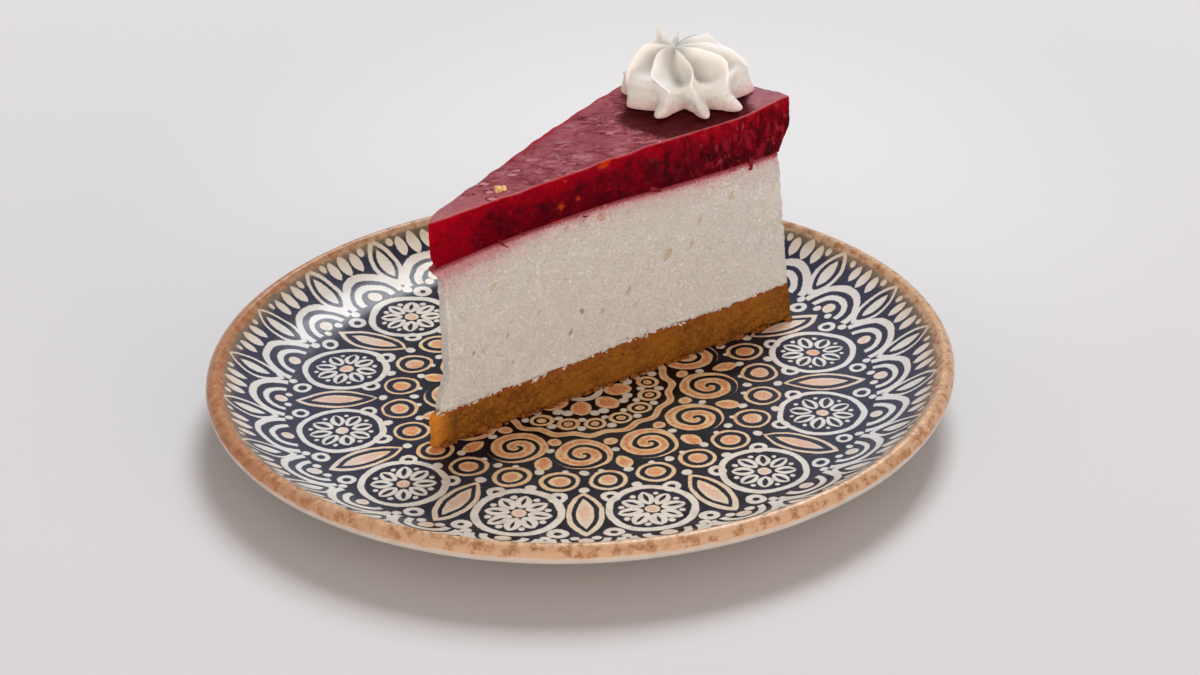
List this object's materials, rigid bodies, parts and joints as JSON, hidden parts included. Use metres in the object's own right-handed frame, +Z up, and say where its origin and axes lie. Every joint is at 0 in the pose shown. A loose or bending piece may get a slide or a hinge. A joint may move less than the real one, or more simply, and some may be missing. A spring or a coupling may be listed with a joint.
{
  "type": "cheesecake slice on plate",
  "caption": "Wedge of layered cheesecake with a biscuit base, berry jelly and a piped cream rosette, lying on a round patterned coupe plate.",
  "frame": {"origin": "centre of the plate, on the table surface", "axes": "+Z up, +X to the right in the picture, +Y away from the camera"},
  "size_m": [0.21, 0.21, 0.0965],
  "materials": {
    "plate_glaze": "glossy glaze over a dark blue and cream print with a rust-brown rim, white underneath",
    "biscuit": "matte pressed crumb",
    "filling": "matte, finely grained",
    "jelly": "glossy, slightly see-through",
    "cream": "soft satin"
  },
  "bodies": {
    "root": {"plate": "plate_glaze", "biscuit_base": "biscuit", "cheese_filling": "filling", "berry_jelly": "jelly", "cream_rosette": "cream"}
  },
  "joints": []
}
